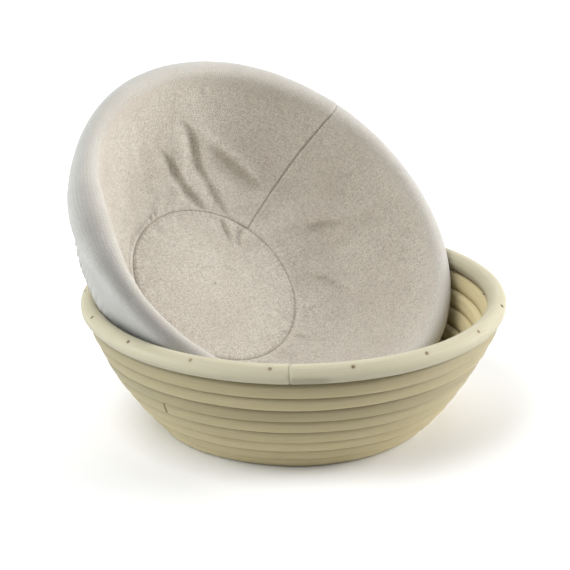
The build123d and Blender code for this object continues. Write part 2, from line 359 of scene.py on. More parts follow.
def linen_material(name, pale, deep, dark, thread=1.0):
    """Plain-woven linen with uneven yarn. UV is millimetres on the cloth; thread is the yarn's spacing."""
    n = Nodes(name)
    uv = n.add("ShaderNodeUVMap", uv_map="UVMap").outputs["UV"]
    drift = n.add("ShaderNodeTexNoise", {"Vector": uv, "Scale": 0.10, "Detail": 2.0}).outputs["Color"]
    bent = n.add("ShaderNodeVectorMath", {0: drift, "Scale": 2.2}, operation="SCALE").outputs[0]
    cloth = n.add("ShaderNodeVectorMath", {0: uv, 1: bent}, operation="ADD").outputs[0]
    split = n.add("ShaderNodeSeparateXYZ", {0: cloth}).outputs
    weft = n.maths("SINE", n.maths("MULTIPLY", split["X"], math.pi / thread))
    warp = n.maths("SINE", n.maths("MULTIPLY", split["Y"], math.pi / thread))
    weave = n.maths("MULTIPLY", weft, warp)
    yarn_x = n.noise(n.stretched(cloth, 0.30 / thread, 1.1 / thread), 1.0, 2.0, 0.6)
    yarn_y = n.noise(n.stretched(cloth, 1.1 / thread, 0.30 / thread), 1.0, 2.0, 0.6)
    over = n.ramp(weave, -0.2, 0.2)
    under = n.maths("SUBTRACT", 1.0, over)
    yarn = n.maths("ADD", n.maths("MULTIPLY", over, yarn_x), n.maths("MULTIPLY", under, yarn_y))
    fuzz = n.noise(uv, 1.9 / thread, 3.0, 0.7)
    patches = n.noise(uv, 0.030, 3.0, 0.55)
    tint = n.add("ShaderNodeAttribute", attribute_name="tint", attribute_type="GEOMETRY").outputs["Color"]
    # where the cloth's "rubbed" value is 1, its yarn and fuzz show less and keep their mean tone
    rubbed = n.add("ShaderNodeAttribute", attribute_name="rubbed", attribute_type="GEOMETRY").outputs["Fac"]
    smooth = n.maths("MULTIPLY", rubbed, 0.8)
    rough = n.maths("SUBTRACT", 1.0, smooth)

    def eased(share, mean):
        return n.maths("ADD", n.maths("MULTIPLY", share, rough), n.maths("MULTIPLY", smooth, mean))

    colour = n.mix(n.ramp(patches, 0.35, 0.68), pale, deep)
    colour = n.mix(eased(n.ramp(yarn, 0.42, 0.66, 0.0, 0.70), 0.26), colour, dark)
    colour = n.mix(eased(n.ramp(fuzz, 0.46, 0.64, 0.0, 0.90), 0.30), colour, dark)
    holes = n.ramp(n.maths("ABSOLUTE", weave), 0.0, 0.35, 0.30, 0.0)
    colour = n.mix(1.0, n.mix(holes, colour, dark), tint, "MULTIPLY")
    normal = n.bump(n.maths("ABSOLUTE", weave), 0.00018, 0.6)
    normal = n.bump(n.maths("MULTIPLY", yarn, rough), 0.00035, 0.5, normal)
    normal = n.bump(n.maths("MULTIPLY", fuzz, rough), 0.00024, 0.6, normal)
    return n.finish(colour, 0.92, normal, Specular_IOR_Level=0.15, Sheen_Weight=0.15, Sheen_Roughness=0.5)


def metal_material(name):
    n = Nodes(name)
    place = n.add("ShaderNodeTexCoord").outputs["Object"]
    spots = n.noise(place, 900.0, 3.0, 0.6)
    colour = n.mix(n.ramp(spots, 0.4, 0.65), rgba(0.17, 0.13, 0.08), rgba(0.28, 0.22, 0.14))
    normal = n.bump(spots, 0.00005, 0.4)
    return n.finish(colour, n.ramp(spots, 0.3, 0.7, 0.40, 0.65), normal, Metallic=0.5)


def plug_material(name):
    n = Nodes(name)
    place = n.add("ShaderNodeTexCoord").outputs["Object"]
    grain = n.noise(n.stretched(place, 2400.0, 160.0), 1.0, 4.0, 0.6)
    colour = n.mix(n.ramp(grain, 0.3, 0.7), rgba(0.62, 0.49, 0.31), rgba(0.48, 0.36, 0.21))
    normal = n.bump(grain, 0.00010, 0.4)
    return n.finish(colour, 0.6, normal, Specular_IOR_Level=0.3)


CANE = cane_material(
    "peeled_cane", rgba(0.50, 0.46, 0.315), rgba(0.43, 0.385, 0.24), rgba(0.30, 0.24, 0.13)
)
LINEN = linen_material(
    "linen", rgba(0.70, 0.66, 0.585), rgba(0.61, 0.565, 0.495), rgba(0.33, 0.29, 0.245)
)
THREAD = linen_material(
    "thread", rgba(0.56, 0.51, 0.44), rgba(0.49, 0.44, 0.37), rgba(0.33, 0.28, 0.23), 0.35
)
ELASTIC = linen_material(
    "elastic", rgba(0.78, 0.77, 0.74), rgba(0.70, 0.69, 0.66), rgba(0.50, 0.49, 0.46), 0.5
)
STEEL = metal_material("nail_steel")
PLUG = plug_material("turned_wood")


# -------------------- cane pieces
def round_section(radius, steps=SECTION_STEPS):
    turn = np.arange(steps) * TURN / steps
    return np.stack([radius * np.cos(turn), radius * np.sin(turn)], -1)


def row_section(height, steps=SECTION_STEPS):
    """Outline of a wall row: round inside and at its outer top, squarer at its foot. x is outwards."""
    turn = np.arange(steps) * TURN / steps
    blend = 0.5 - 0.5 * np.sin(turn)
    outer = OUTER_TOP + (OUTER_FOOT - OUTER_TOP) * blend
    power = 2 / np.where(np.cos(turn) > 0, outer, INNER_SQUARENESS)
    x = np.sign(np.cos(turn)) * np.abs(np.cos(turn)) ** power * ROW_THICKNESS / 2
    y = np.sign(np.sin(turn)) * np.abs(np.sin(turn)) ** power * height / 2
    return np.stack([x, y], -1)


def nail_azimuths(node, basket):
    """Azimuths of a node's nails, from the vertices of their heads."""
    points = basket.local(vertices(node))
    turn = np.sort(np.arctan2(points[:, 1], points[:, 0]) % TURN)
    cuts = np.where(np.diff(turn) > math.radians(3))[0]
    starts = np.concatenate([[0], cuts + 1])
    ends = np.concatenate([cuts, [len(turn) - 1]])
    return [(turn[a] + turn[b]) / 2 for a, b in zip(starts, ends)]


def joint_azimuth(node, basket):
    """Azimuth of a hoop's butt joint, from the largest of the CAD faces that look along the hoop."""
    mesh = NODES[node].data
    points = basket.local(vertices(node))
    corners = np.empty(len(mesh.loops), dtype=np.int32)
    mesh.loops.foreach_get("vertex_index", corners)
    starts = np.empty(len(mesh.polygons), dtype=np.int32)
    mesh.polygons.foreach_get("loop_start", starts)
    a, b, c = (points[corners[starts + k]] for k in range(3))
    middle = (a + b + c) / 3
    turn = np.arctan2(middle[:, 1], middle[:, 0])
    normal = np.cross(b - a, c - a)
    size = np.linalg.norm(normal, axis=1)
    along = np.abs(normal[:, 1] * np.cos(turn) - normal[:, 0] * np.sin(turn))
    return float(turn[np.argmax(np.where(along > 0.99 * size, size, 0))])


def long_flats(rng, around, share, number, most, twist, depth):
    """Shallow flats and fibres that run along a cane and twist slowly round it."""
    flats = np.zeros((len(share), len(around)))
    for _ in range(number):
        count, phase, spin = rng.integers(3, most), rng.uniform(0, TURN), rng.uniform(-twist, twist)
        flats += np.cos(count * around[None, :] + phase + spin * share[:, None] * 4) * depth
    return flats


def nail_distance(basket, angle, around):
    """Distance from each point of the rim's surface to the nearest nail's head."""
    radius = basket.rows[0][0]
    head = math.radians(90 - RIM_NAIL_ANGLE)
    apart = ((around - head + math.pi) % TURN - math.pi) * RIM_CANE / 2
    nearest = np.full((len(angle), len(around)), np.inf)
    for azimuth in nail_azimuths(f"{basket.prefix}_rim_nails", basket):
        along = ((angle - azimuth + math.pi) % TURN - math.pi) * radius
        nearest = np.minimum(nearest, np.hypot(along[:, None], apart[None, :]))
    return nearest


def rim_painted_shade(around, past_joint):
    """Painted shade on the rim: darker underneath, and darker still on its lower half for a short way past
    its joint.
    """
    outside = np.cos(around) > 0
    under = np.clip((math.sin(0.15) - np.sin(around)) / 0.9, 0, 1) * outside
    low_half = np.clip((math.sin(0.05) - np.sin(around)) / 0.12, 0, 1) * outside
    joint_shade = np.clip(past_joint / 1.5, 0, 1) * np.clip((JOINT_SHADE_LENGTH - past_joint) / 6.0, 0, 1)
    return (1 - 0.12 * under[None, :]) * (1 - 0.24 * joint_shade[:, None] * low_half[None, :])


def row_shade(section, row):
    """Tint round a wall row: painted shade towards its top and foot, and painted light and shade in its
    tone outside and inside.
    """
    level = section[:, 1] / section[:, 1].max()
    depth = LAST_ROW_SHADE if row == ROWS else ROW_SHADE
    top = 1 - 0.40 * depth * np.clip((level + 0.7) / 1.7, 0, 1) ** 1.1
    foot = 1 - 0.25 * depth * np.clip((-level - 0.93) / 0.07, 0, 1)
    outer = np.clip(section[:, 0] / ROW_THICKNESS * 4 + 0.5, 0, 1)
    tone = np.interp(row, *zip(*ROW_PAINTED_TONES))
    return top * foot * (INNER_PAINTED_LIGHT + outer * (tone - INNER_PAINTED_LIGHT))


def place_cane(basket, node, points, uv, tint):
    """Makes a cane from a grid of points along and round it, and puts it in the CAD node's place."""
    faces = tube_faces(*points.shape[:2])
    world = basket.world(points.reshape(-1, 3))
    piece = make_mesh(f"{node}_cane", world, faces, uv.reshape(-1, 2), CANE, tint)
    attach(piece, basket.body)
    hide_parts(node)


def cane_hoop(basket, row, seed):
    """One bent cane closed by a butt joint, uneven in thickness and with flats along it."""
    name = "rim_hoop" if row == 0 else f"wall_hoop_{row}"
    node = f"{basket.prefix}_{name}"
    rng = np.random.default_rng(seed)
    radius, height = basket.rows[row]
    if row == 0:
        section, lean = round_section(RIM_CANE / 2 + ROW_LAP / 2), 0.0
    else:
        section = row_section(basket.pitch + ROW_LAP)
        lean = basket.slope(row) - math.radians(STEP_TILT)
    slit = JOINT_SLIT / radius
    share = np.linspace(0, 1, HOOP_STEPS)
    angle = joint_azimuth(node, basket) + slit / 2 + share * (TURN - slit)
    around = np.arange(len(section)) * TURN / len(section)
    from_end = np.minimum(share, 1 - share) * TURN * radius
    # uneven thickness, and a drift to the side that leaves the ends slightly out of line
    swell = 1 + ripple(angle, rng, 2, 14, 0.010) + ripple(angle, rng, 20, 70, 0.004)
    drift_out = ripple(angle, rng, 2, 7, 0.16) + (share - 0.5) * rng.uniform(-0.25, 0.25)
    drift_up = ripple(angle, rng, 2, 9, 0.05)
    x = section[None, :, 0] * swell[:, None]
    y = section[None, :, 1] * (1 + (swell[:, None] - 1) * 0.3)
    flats = long_flats(rng, around, share - 0.5, 7, 15, 1.5, 0.022) / np.hypot(x, y)
    x = x * (1 + flats)
    y = y * (1 + flats * (1.0 if row == 0 else 0.2))
    # ends are slightly rounded over at the cut
    ease = (1 - 0.05 * np.exp(-((from_end / 0.5) ** 2)))[:, None]
    x, y = x * ease, y * ease
    tint = np.ones((HOOP_STEPS, len(section))) * (1 + rng.uniform(-0.045, 0.045))
    tint *= 1 + ripple(angle, rng, 1, 6, 0.018)[:, None]
    tint *= 1 - 0.08 * np.exp(-((from_end / 0.35) ** 2))[:, None]
    if row == 0:
        far = nail_distance(basket, angle, around)
        dent = NAIL_DENT * np.exp(-((far / 0.9) ** 2)) / (RIM_CANE / 2)
        x, y = x - dent * section[None, :, 0], y - dent * section[None, :, 1]
        tint *= 1 - 0.35 * np.exp(-((far / 0.8) ** 2))
        # painted shade under the rim and on its lower half past its joint
        tint *= rim_painted_shade(around, share * TURN * radius)
        hue = RIM_HUE
    else:
        # painted shade and light on the wall rows
        tint *= row_shade(section, row)
        hue = ROW_HUE
    # the saw cut wanders a little across the cane
    wander = (0.35 * np.sin(2 * around + seed) + 0.2 * np.sin(5 * around + 2 * seed)) / radius
    angle = angle[:, None] + wander[None, :] * np.exp(-((from_end / 2.5) ** 2))[:, None]
    r = radius + drift_out[:, None] + x * math.cos(lean) + y * math.sin(lean)
    z = height + drift_up[:, None] + y * math.cos(lean) - x * math.sin(lean)
    points = np.stack([r * np.cos(angle), r * np.sin(angle), z], -1)
    step = np.hypot(*(np.roll(section, -1, 0) - section).T)
    v = np.concatenate([[0], np.cumsum(step)[:-1]]) + seed * 11.0
    u = share * TURN * radius + seed * 37.0
    uv = np.stack(np.broadcast_arrays(u[:, None], v[None, :]), -1)
    place_cane(basket, node, points, uv, tint[..., None] * np.array(hue))


def coil_path(limit):
    """Middle line of the spiral base, from half turns each closer in, and its outward direction."""
    radius = limit - BASE_CANE / 2 + COIL_STEP
    side = -1
    path, heading = [], []
    while radius > BASE_CANE / 2 + 1:
        centre = 0.0 if side > 0 else -COIL_STEP
        steps = max(int(math.pi * radius / 1.4), 14)
        turn = np.arange(steps) / steps * math.pi
        spin = turn if side > 0 else turn + math.pi
        path.append(np.stack([centre + radius * np.cos(spin), radius * np.sin(spin)], -1))
        heading.append(np.stack([np.cos(spin), np.sin(spin)], -1))
        radius -= COIL_STEP
        side = -side
    return np.concatenate(path), np.concatenate(heading)


def cane_coil(basket, seed):
    """Spiral base of one cane, planed flat underneath, with a round eye for the plug."""
    rng = np.random.default_rng(seed)
    node = f"{basket.prefix}_base_coil"
    path, heading = coil_path(basket.coil_limit)
    section = round_section(BASE_CANE / 2 - 0.03, 28)
    share = np.linspace(0, 1, len(path))
    around = np.arange(len(section)) * TURN / len(section)
    swell = 1 + ripple(share * TURN, rng, 5, 60, 0.008)
    out = section[None, :, 0] * swell[:, None]
    up = section[None, :, 1] * swell[:, None] + BASE_CANE / 2 - BASE_PLANED
    up += ripple(share * TURN, rng, 6, 40, 0.05)[:, None]
    out += long_flats(rng, around, share, 6, 12, 9, 0.018)
    x = path[:, None, 0] + heading[:, None, 0] * out
    y = path[:, None, 1] + heading[:, None, 1] * out
    z = np.maximum(up, 0.0)
    # scarfed outer end, and the eye cut round for the plug
    far = np.hypot(x, y)
    pull = np.where(far > basket.coil_limit, basket.coil_limit / far, 1.0)
    x, y = x * pull, y * pull
    plug = (basket.plug.max(0) + basket.plug.min(0)) / 2
    plug_radius = (basket.plug[:, 0].max() - basket.plug[:, 0].min()) / 2 + 0.1
    away = np.hypot(x - plug[0], y - plug[1])
    push = np.where(away < plug_radius, plug_radius / np.maximum(away, 1e-6), 1.0)
    x, y = plug[0] + (x - plug[0]) * push, plug[1] + (y - plug[1]) * push
    tint = np.ones((len(path), len(section))) * (1 + ripple(share * TURN, rng, 2, 12, 0.02))[:, None]
    # painted shade on the cane's sides, where each coil lies against the next
    tint *= 1 - 0.3 * np.clip(np.abs(np.cos(around))[None, :] - 0.8, 0, 1) / 0.2
    along = np.concatenate([[0], np.cumsum(np.hypot(*np.diff(path, axis=0).T))]) + seed * 31.0
    uv = np.stack(np.broadcast_arrays(along[:, None], around[None, :] * BASE_CANE / 2), -1)
    place_cane(basket, node, np.stack([x, y, z], -1), uv, tint[..., None] * np.array(ROW_HUE))


for basket, seed in ((bare, 3), (lined, 40)):
    for row in range(ROWS + 1):
        cane_hoop(basket, row, seed + row)
    cane_coil(basket, seed + 20)
    finishes = {"rim_nails": STEEL, "wall_nails": STEEL, "base_nails": STEEL, "base_plug": PLUG}
    for name, material in finishes.items():
        materials = NODES[f"{basket.prefix}_{name}"].data.materials
        materials.clear()
        materials.append(material)


# -------------------- linen liner
def resample(points, spacing):
    """Even points along a smoothed outline."""
    line = np.array(points, dtype=float)
    for _ in range(3):
        a = line[:-1] * 0.75 + line[1:] * 0.25
        b = line[:-1] * 0.25 + line[1:] * 0.75
        inner = np.stack([a, b], 1).reshape(-1, 2)
        line = np.concatenate([line[:1], inner, line[-1:]])
    along = np.concatenate([[0], np.cumsum(np.hypot(*np.diff(line, axis=0).T))])
    count = int(round(along[-1] / spacing)) + 1
    at = np.linspace(0, along[-1], count)
    return np.stack([np.interp(at, along, line[:, 0]), np.interp(at, along, line[:, 1])], -1), at


FLOOR = BASE_CANE - BASE_PLANED + CLOTH_GAP + CLOTH / 2
SHIFT_AZIMUTH = math.radians(SEAM_SHIFT[1])
SHIFT = SEAM_SHIFT[0] * np.array([math.cos(SHIFT_AZIMUTH), math.sin(SHIFT_AZIMUTH)])


def hem_point(basket, distance, depth):
    """Point beside the wall at a depth below the rim."""
    line = np.array([basket.beside(row, distance) for row in range(1, ROWS + 1)])
    level = basket.rows[0][1] - depth
    return float(np.interp(-level, -line[:, 1], line[:, 0])), level


def liner_outline(basket):
    """Section of the linen: from the base seam up the wall, over the rim and round the hem's casing."""
    half = (ROW_THICKNESS + CLOTH) / 2
    corner = ((0, 0), (3.5, 0.4), (8.0, 1.7), (12.5, 4.4))
    points = [(SEAM_RADIUS + out, FLOOR + up) for out, up in corner]
    for row in range(7, 0, -1):
        points.append(basket.beside(row, -half - CLOTH_GAP - STAND_OFF[row - 1]))
    radius, height = basket.rows[0]
    over = (RIM_CANE + CLOTH) / 2 + CLOTH_GAP
    for turn in np.radians(np.linspace(160, -30, 12)):
        points.append((radius + over * math.cos(turn), height + over * math.sin(turn)))
    inner = half + CLOTH_GAP
    outer = inner + CLOTH + ELASTIC_THICKNESS + 0.8
    casing_top = SKIRT_DEPTH - CASING
    hem = SKIRT_DEPTH - 1.0
    points += [hem_point(basket, inner + 0.1, depth) for depth in np.arange(12.0, casing_top - 3.0, 5.0)]
    points += [hem_point(basket, outer, depth) for depth in np.linspace(casing_top + 1.5, hem, 3)]
    points.append(hem_point(basket, (inner + outer) / 2, SKIRT_DEPTH))
    points += [hem_point(basket, inner, depth) for depth in np.linspace(hem, casing_top + 0.5, 3)]
    return points


class Sheet:
    """Smooth surface of the liner with a height field on it, laid out flat round the basket's axis."""

    def __init__(self, base, normal, azimuth, reach, radius):
        self.base, self.normal = base, normal
        self.azimuth, self.reach, self.radius = azimuth, reach, radius
        self.flat = np.stack([reach * np.cos(azimuth), reach * np.sin(azimuth)], -1)
        self.lift = np.zeros(azimuth.shape)

    def distance(self, path):
        """Distance to a line through (degrees, mm) points, positive on its right, and share along it."""
        turn, reach = np.radians([a for a, _ in path]), np.array([s for _, s in path])
        knots = np.stack([reach * np.cos(turn), reach * np.sin(turn)], -1)
        for _ in range(2):
            early, late = knots[:-1] * 0.75 + knots[1:] * 0.25, knots[:-1] * 0.25 + knots[1:] * 0.75
            knots = np.concatenate([knots[:1], np.stack([early, late], 1).reshape(-1, 2), knots[-1:]])
        lengths = np.hypot(*np.diff(knots, axis=0).T)
        near = np.hypot(*(self.flat - knots.mean(0)).transpose(2, 0, 1)) < lengths.sum() / 2 + 40
        here = self.flat[near]
        best, signed, share = (np.full(len(here), value) for value in (1e9, 1e9, 0.0))
        done = 0.0
        for start, end, length in zip(knots, knots[1:], lengths):
            along = (end - start) / max(length, 1e-6)
            gap = here - start
            t = np.clip(gap @ along, 0, length)
            away = np.hypot(*(gap - t[:, None] * along).T)
            side = np.sign(along[0] * gap[:, 1] - along[1] * gap[:, 0])
            closer = away < best
            best = np.where(closer, away, best)
            signed = np.where(closer, -side * away, signed)
            share = np.where(closer, (done + t) / lengths.sum(), share)
            done += length
        full_signed, full_share = np.full(self.azimuth.shape, 1e9), np.zeros(self.azimuth.shape)
        full_signed[near], full_share[near] = signed, share
        return full_signed, full_share

    def pleat(self, path, height, easy, steep, valley=0.0, ends=(0.1, 0.1)):
        """Ridge along a line: it rises gently from the left, drops steeply on the right into a valley.

        ends are the shares of the line over which the ridge rises at its start and dies at its end.
        """
        signed, share = self.distance(path)
        fade = smooth_step(np.clip(share / ends[0], 0, 1) * np.clip((1 - share) / ends[1], 0, 1))
        width = np.where(signed < 0, easy, steep)
        ridge = height * np.exp(-((signed / width) ** 2))
        trough = valley * np.exp(-(((signed - 2.2 * steep) / (1.5 * steep)) ** 2))
        self.lift += (ridge - trough) * fade

    def add_seam_lip(self, turn, rng, from_edge, height, place, width, pucker):
        """A lip where the edge turns down into its stitching, with short puckers away from it."""
        puckers = np.abs(ripple(turn, rng, 24, 60, pucker))[:, None]
        self.lift += (height + puckers) * np.exp(-(((from_edge - place) / width) ** 2))
        self.lift -= 0.25 * np.exp(-((from_edge / 0.7) ** 2))

    def points(self):
        return self.base + self.normal * self.lift[..., None]

    def hollow_shade(self, spacing_across, spacing_along):
        """Share of painted shade that makes the hollows darker, and of painted light that makes the ridges
        paler, than the flat cloth.
        """
        across = np.roll(self.lift, 1, 0) + np.roll(self.lift, -1, 0) - 2 * self.lift
        along = np.zeros_like(self.lift)
        along[:, 1:-1] = self.lift[:, 2:] + self.lift[:, :-2] - 2 * self.lift[:, 1:-1]
        hollow = across / spacing_across**2 + along / spacing_along**2
        return 0.16 * np.clip(hollow * 1.6, -0.3, 1)


# Lines on the liner are (azimuth in degrees, distance from the axis in mm along the cloth).
# Most points of the side seam and the folds come from a scratch script that carried places picked
# in the reference picture onto the cloth. They were then rounded and changed.
SEAM_LINE = [(309.5, 44.0), (307.1, 65.0), (306.0, 92.0), (303.8, 126.0), (303.8, 180.0)]

# the folds and tucks where the linen is fuller than the bowl: line, height, width of the gentle and
# of the steep side, depth of the valley, and the shares over which it rises and dies away
FOLDS = (
    ([(9, 93), (359, 79.5), (355, 66), (347, 55), (340, 46)], 2.1, 12.0, 1.9, 1.1, (0.6, 0.08)),
    ([(358, 106), (348, 92), (343, 71), (334, 60), (322, 44)], 1.9, 8.0, 2.1, 1.0, (0.4, 0.08)),
    ([(352, 95), (339, 85.5), (325.5, 77.5), (309, 70)], 1.7, 3.5, 3.4, 1.0, (0.6, 0.15)),
    ([(350, 130), (347, 110)], 0.7, 3.5, 1.4, 0.3, (0.4, 0.5)),
    ([(332, 130), (330, 112)], 0.5, 3.5, 1.4, 0.3, (0.4, 0.5)),
    ([(331, 46), (324, 33), (310, 24)], 2.4, 6.0, 1.5, 0.9, (0.15, 0.6)),
    ([(309, 44), (313, 34), (304, 24)], 2.1, 5.0, 1.4, 0.9, (0.15, 0.6)),
    ([(323, 26), (260, 10), (148, 26)], 0.8, 10.0, 6.0, 0.2, (0.3, 0.4)),
    ([(302, 27), (277, 23)], 0.5, 5.0, 2.2, 0.3, (0.3, 0.3)),
    ([(231, 36), (236, 56)], 0.8, 4.0, 1.4, 0.4, (0.3, 0.4)),
    ([(203, 38), (214, 58)], 0.9, 4.0, 1.4, 0.4, (0.3, 0.4)),
    ([(262, 50), (255, 66), (240, 80)], 1.7, 7.0, 2.2, 0.6, (0.3, 0.5)),
    ([(286, 58), (283, 76), (272, 92)], 1.4, 8.0, 2.6, 0.5, (0.4, 0.5)),
)


def side_seam_azimuth(reach):
    turns, places = zip(*SEAM_LINE)
    return np.radians(np.interp(reach, places, turns))


class WallLinen(Sheet):
    """The liner's wall. run is the distance along the cloth, from the base seam to the casing's end."""

    def __init__(self, basket):
        outline, self.along = resample(liner_outline(basket), 1.0)
        self.rim = self.along[int(np.argmax(outline[:, 1]))]
        self.turn = np.arange(WALL_STEPS) * TURN / WALL_STEPS
        tangent = np.gradient(outline, axis=0)
        tangent /= np.linalg.norm(tangent, axis=1)[:, None]
        A, self.run = np.meshgrid(self.turn, self.along, indexing="ij")
        # the floor part follows the base panel, which is sewn in off centre
        blend = smooth_step(1 - self.run / 16)
        r, z = outline[None, :, 0], np.broadcast_to(outline[None, :, 1], A.shape)
        x = r * np.cos(A) + SHIFT[0] * blend
        y = r * np.sin(A) + SHIFT[1] * blend
        out, up = -tangent[None, :, 1], tangent[None, :, 0]
        normal = np.stack([out * np.cos(A), out * np.sin(A), np.broadcast_to(up, A.shape)], -1)
        reach = SEAM_RADIUS + self.run + blend * (SHIFT[0] * np.cos(A) + SHIFT[1] * np.sin(A))
        azimuth = np.arctan2(y, x) % TURN
        super().__init__(np.stack([x, y, z], -1), normal, azimuth, reach, np.hypot(x, y))
        self.uv = np.stack([A * UV_RADIUS, self.run], -1)

    def add_fullness(self, rng):
        """Soft fullness, most of it low down where the cut is wider than the bowl, and the folds."""
        low = np.exp(-((self.run / (0.5 * self.rim)) ** 2))
        self.lift += ripple(self.turn, rng, 3, 9, 0.55)[:, None] * (0.35 + 0.65 * low)
        self.lift += ripple(self.turn, rng, 10, 28, 0.22)[:, None] * low
        for _ in range(22):
            start, bottom, top = rng.uniform(0, 360), rng.uniform(50, 75), rng.uniform(85, 125)
            lean, bow = rng.uniform(-12, 12), rng.uniform(-5, 5)
            path = [(start, bottom), (start + lean / 2 + bow, (bottom + top) / 2), (start + lean, top)]
            height, easy, steep = rng.uniform(0.15, 0.6), rng.uniform(5, 9), rng.uniform(2.5, 5)
            self.pleat(path, height, easy, steep, 0.1, (0.4, 0.4))
        for fold in FOLDS:
            self.pleat(*fold)
        # it dies away at the base seam and below the rim
        inside = np.clip((self.rim - 8 - self.run) / 12, 0, 1)
        self.lift *= inside * smooth_step(self.run / 3.5)

    def add_side_seam(self):
        """The allowance makes a low step, and the stitching pulls a narrow groove."""
        turn = (self.azimuth - side_seam_azimuth(self.reach) + math.pi) % TURN - math.pi
        off = turn * self.radius
        sewn = np.clip(self.along[-1] - CASING - 2 - self.run, 0, 1)
        step = 0.55 / (1 + np.exp(-np.clip(off, -9, 60) / 0.3)) * np.exp(-np.clip(off, 0, None) / 7)
        self.lift += (step - 0.7 * np.exp(-((off / 0.6) ** 2))) * sewn
        # painted shade in the stitching's groove
        self.seam_shade = 0.12 * np.exp(-((off / 0.7) ** 2)) * sewn

    def add_rim_and_skirt(self, rng):
        """Loose over the rim, bagging and tucked on one side, gathered towards the elastic."""
        past_rim = self.run - self.rim
        bag, azimuth, spread = SKIRT_BAG
        loose = 0.25 + bag * bump_at(self.turn, math.radians(azimuth), math.radians(spread))
        loose += ripple(self.turn, rng, 3, 11, 0.14) + ripple(self.turn, rng, 14, 40, 0.05)
        self.lift += np.maximum(loose, 0.05)[:, None] * np.exp(-(((past_rim - 2) / 14) ** 2))
        depth, azimuth, spread = TUCK
        near_side = bump_at(self.turn, math.radians(azimuth), math.radians(spread))[:, None]
        self.tucked = near_side * np.exp(-(((past_rim - 3.2) / 3.4) ** 2))
        self.lift -= depth * self.tucked
        outer_layer = np.clip((self.along[-1] - self.run - CASING - 1.0) / 1.5, 0, 1)
        gather = np.abs(ripple(self.turn, rng, 34, 60, 0.28))
        gather += np.abs(ripple(self.turn, rng, 10, 22, 0.12))
        gathered = np.clip((past_rim - 32) / 12, 0, 1) ** 1.5
        self.lift += np.clip(gather, 0, 1.3)[:, None] * gathered * outer_layer

    def keep_off_cane(self):
        """Limits the dips to the room between the linen and the cane."""
        places = [0, 8, 20, self.rim - 14, self.rim - 4, self.rim]
        room = np.interp(self.run, places, [0.25, 0.8, 2.8, 1.0, 0.2, 0.15])
        deep = np.clip(-self.lift / room, 0, None)
        self.lift = np.where(self.lift < 0, -room * np.tanh(deep), self.lift)

    def tint(self):
        """Painted shade in the hollows, in the side seam's groove and in the tuck, and cooler painted shade
        over the rim and outside.
        """
        # painted shade in the hollows and painted light on the ridges
        tint = 1 - self.hollow_shade(TURN / WALL_STEPS * 80, 1.0)
        # painted shade in the side seam's groove and in the tuck
        tint *= (1 - self.seam_shade) * (1 - 0.34 * self.tucked)
        # cooler painted shade over the rim and outside
        outside = np.clip((self.run - self.rim + 8) / 14, 0, 1)
        return tint[..., None] * (1 + outside[..., None] * (np.array(SKIRT_PAINTED_SHADE) - 1))


def place_wall_linen(basket):
    wall = WallLinen(basket)
    rng = np.random.default_rng(11)
    wall.add_fullness(rng)
    wall.add_side_seam()
    wall.add_seam_lip(wall.turn, rng, wall.run, 0.25, 2.2, 1.6, 0.26)
    wall.add_rim_and_skirt(rng)
    wall.keep_off_cane()
    points = basket.world(wall.points().reshape(-1, 3))
    faces = grid_faces(*wall.run.shape, wrap_rows=True)
    piece = make_mesh("liner_wall_linen", points, faces, wall.uv.reshape(-1, 2), LINEN, wall.tint())
    rubbed = np.clip((wall.run - wall.rim + 14) / 14, 0, 1)
    attribute = piece.data.attributes.new("rubbed", "FLOAT", "POINT")
    attribute.data.foreach_set("value", rubbed.ravel())
    finish_linen(piece, "liner_wall_panel")
    return wall


def finish_linen(piece, node):
    """Gives a cloth surface its thickness and its place in the model."""
    solid = piece.modifiers.new("thickness", "SOLIDIFY")
    solid.thickness = CLOTH * MM
    solid.offset = 0.0
    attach(piece, "liner")
    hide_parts(node)


def place_base_linen(basket):
    """Round panel in the bottom, with the puckers of its seam and a few soft creases."""
    rings, steps = 72, 360
    radius = np.linspace(0.4, SEAM_RADIUS, rings)
    turn = np.arange(steps) * TURN / steps
    A, R = np.meshgrid(turn, radius, indexing="ij")
    x, y = R * np.cos(A) + SHIFT[0], R * np.sin(A) + SHIFT[1]
    base = np.stack([x, y, np.full(x.shape, FLOOR)], -1)
    normal = np.zeros_like(base)
    normal[..., 2] = 1
    reach = np.hypot(x, y)
    sheet = Sheet(base, normal, np.arctan2(y, x) % TURN, reach, reach)
    rng = np.random.default_rng(5)
    edge = SEAM_RADIUS - R
    sheet.lift += 0.6 + ripple(turn, rng, 2, 5, 0.35)[:, None] * (R / SEAM_RADIUS) ** 2
    sheet.lift += ripple(turn, rng, 14, 34, 0.18)[:, None] * np.exp(-((edge / 7) ** 2))
    for fold in FOLDS:
        sheet.pleat(*fold)
    sheet.lift = np.maximum(sheet.lift, 0.05) * np.clip(edge / 4, 0, 1)
    sheet.add_seam_lip(turn, rng, edge, 0.20, 1.8, 1.3, 0.20)
    # painted shade in the hollows of the creases and painted light on their ridges
    tint = 1 - sheet.hollow_shade(TURN / steps * 30, SEAM_RADIUS / rings) * np.clip(R / 6, 0, 1)
    centre = np.array([[SHIFT[0], SHIFT[1], FLOOR + sheet.lift[:, 0].mean()]])
    flat = np.concatenate([sheet.points().reshape(-1, 3), centre])
    spread = np.stack([R * np.cos(A), R * np.sin(A)], -1).reshape(-1, 2)
    uv = np.concatenate([spread, [[0.0, 0.0]]]) + 600.0
    # one triangle for each step round the centre point
    spoke = np.arange(steps)
    middle = np.stack([np.full(steps, len(flat) - 1), (spoke + 1) % steps * rings, spoke * rings], -1)
    middle = np.concatenate([middle, np.full((steps, 1), -1)], -1)
    faces = np.concatenate([grid_faces(steps, rings, wrap_rows=True)[:, ::-1], middle])
    tint = np.append(tint.ravel(), 1.0)
    piece = make_mesh("liner_base_linen", basket.world(flat), faces, uv, LINEN, tint)
    finish_linen(piece, "liner_base_panel")


